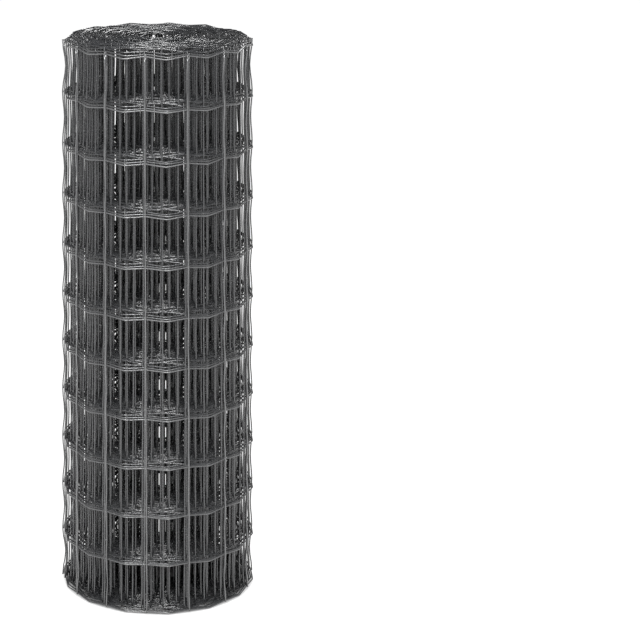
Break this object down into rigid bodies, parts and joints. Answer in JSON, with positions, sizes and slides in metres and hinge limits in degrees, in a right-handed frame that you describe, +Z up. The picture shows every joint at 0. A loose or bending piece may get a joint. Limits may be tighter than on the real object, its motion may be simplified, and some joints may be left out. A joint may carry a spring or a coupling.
{
  "type": "roll of welded wire fencing",
  "caption": "Full roll of dark coated welded wire fencing, standing on one end, with crimped line wires in rings round it and a narrow hollow down its middle.",
  "frame": {"origin": "middle of the base, on the roll's axis", "axes": "+Z up the roll's axis, from the base to the top end"},
  "size_m": [0.3001, 0.3002, 0.8417],
  "materials": {
    "coated_wire": "anthracite grey plastic coat on galvanised steel wire, satin"
  },
  "bodies": {
    "root": {"fence_roll": "coated_wire"}
  },
  "joints": []
}
